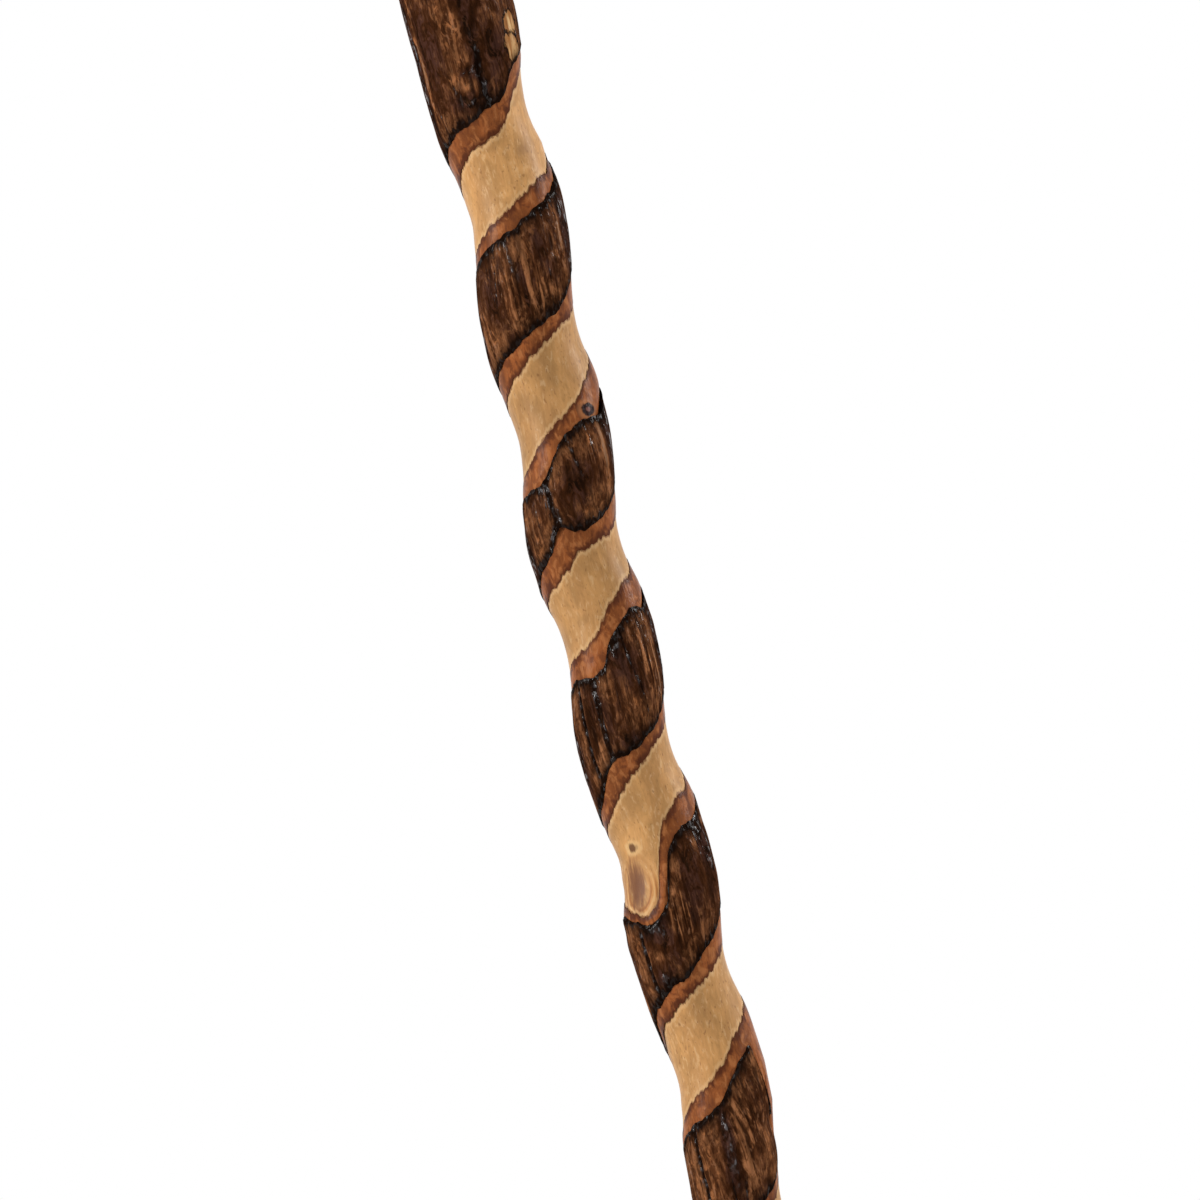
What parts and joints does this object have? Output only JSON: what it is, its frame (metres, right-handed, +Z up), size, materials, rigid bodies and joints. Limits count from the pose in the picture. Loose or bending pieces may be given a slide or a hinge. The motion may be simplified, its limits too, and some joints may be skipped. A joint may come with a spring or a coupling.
{
  "type": "walking cane",
  "caption": "Wooden walking cane: a bark-covered stick carved with a spiral groove that bares the wood, a T handle with a collar, and a rubber tip.",
  "frame": {"origin": "middle of the rubber tip's ground face", "axes": "+Z up along the stick, X along the handle with its longer end towards +X, and -Y the cane's front as pictured"},
  "size_m": [0.1265, 0.038, 0.94],
  "materials": {
    "shaft_wood": "clear gloss lacquer over pale carved wood",
    "inner_bark": "clear gloss lacquer over cinnamon inner bark",
    "outer_bark": "clear gloss lacquer over dark furrowed bark",
    "collar_brass": "polished, lightly worn",
    "handle_wood": "clear gloss lacquer",
    "plug_wood": "clear gloss lacquer",
    "fixing_steel": "zinc plated",
    "tip_rubber": "matt moulded",
    "tip_steel": "plain"
  },
  "bodies": {
    "cane": {"shaft": "shaft_wood", "inner_bark": "inner_bark", "outer_bark": "outer_bark", "collar": "collar_brass", "handle": "handle_wood", "handle_plug": "plug_wood", "handle_screw": "fixing_steel", "screw_washer": "fixing_steel"},
    "tip": {"rubber_tip": "tip_rubber", "tip_washer": "tip_steel"}
  },
  "joints": [
    {"name": "tip_pull", "type": "slide", "parent": "cane", "child": "tip", "axis": [0, 0, -1], "range_m": [0, 0.04]}
  ]
}
